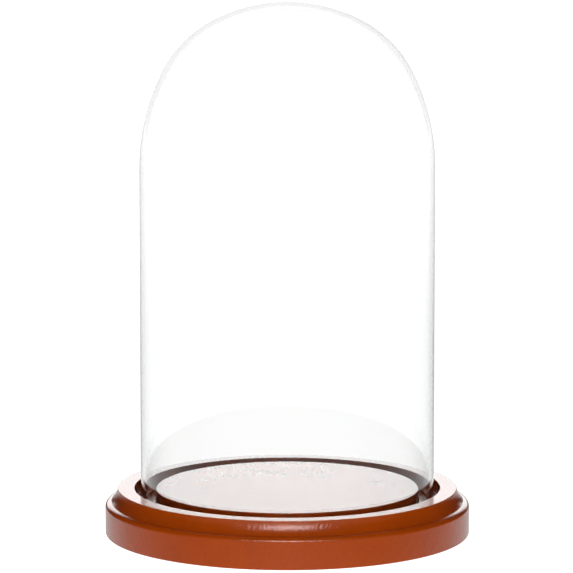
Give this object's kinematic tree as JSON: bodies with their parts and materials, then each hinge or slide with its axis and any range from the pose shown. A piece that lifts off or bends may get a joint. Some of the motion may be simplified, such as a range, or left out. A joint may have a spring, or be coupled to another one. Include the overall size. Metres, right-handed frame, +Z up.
{
  "type": "glass display dome",
  "caption": "Clear glass bell dome that stands in a ring channel on a turned wooden base and lifts off to show or cover what is on the centre platform.",
  "frame": {"origin": "on the table under the centre of the base, level with the bottoms of the felt pads", "axes": "+Z up along the common axis of the base and the glass; -Y towards the viewer. The part is round, so X and Y differ only by the wood's grain, which is taken to run along Y, and by the pads, which lie between the axes"},
  "size_m": [0.143, 0.143, 0.2091],
  "materials": {
    "wood": "reddish brown stain under satin lacquer",
    "glass": "clear, polished, with a faint green tint at the edge",
    "felt": "pressed felt"
  },
  "bodies": {
    "base": {"wood_base": "wood", "felt_pad_1": "felt", "felt_pad_2": "felt", "felt_pad_3": "felt", "felt_pad_4": "felt"},
    "dome": {"glass_dome": "glass"}
  },
  "joints": [
    {"name": "dome_lift", "type": "slide", "parent": "base", "child": "dome", "axis": [0, 0, 1], "range_m": [0, 0.2]}
  ]
}
